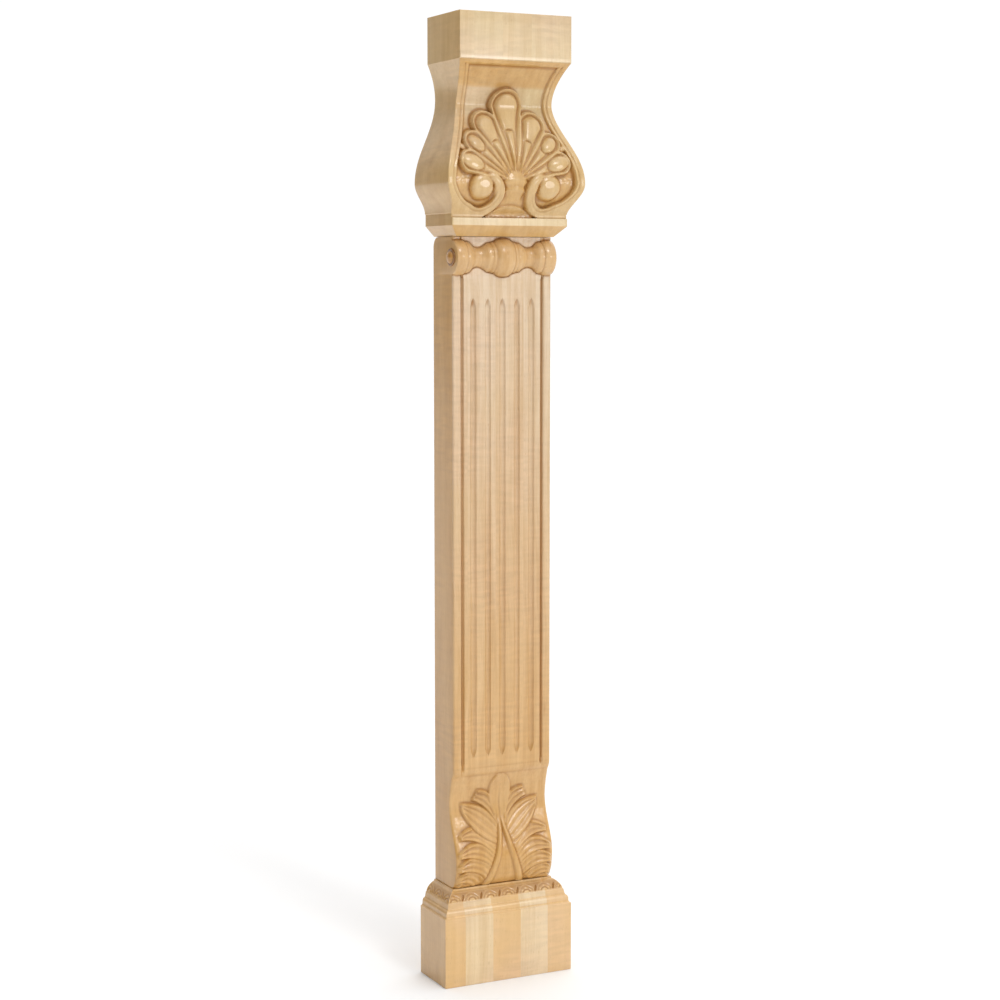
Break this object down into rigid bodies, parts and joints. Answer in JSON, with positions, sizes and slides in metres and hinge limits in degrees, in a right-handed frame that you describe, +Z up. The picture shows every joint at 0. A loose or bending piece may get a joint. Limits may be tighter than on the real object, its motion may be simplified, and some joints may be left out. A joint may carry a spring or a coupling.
{
  "type": "carved pilaster",
  "caption": "Carved wooden pilaster: serpentine capital with shell and scroll volutes, fluted shaft with a bead-and-reel roll and a leaf-carved foot, on a moulded plinth.",
  "frame": {"origin": "middle of the outline box at floor level, under the plinth", "axes": "+Z up the pilaster, +X to the right of someone facing it, carved front towards -Y, flat back towards +Y"},
  "size_m": [0.1896, 0.0986, 1.2192],
  "materials": {
    "carved_wood": "clear satin lacquer on pale hardwood",
    "turned_button": "clear satin lacquer on honey-coloured hardwood"
  },
  "bodies": {
    "root": {"capital": "carved_wood", "shaft": "carved_wood", "base": "carved_wood", "button_left": "turned_button", "button_right": "turned_button"}
  },
  "joints": []
}
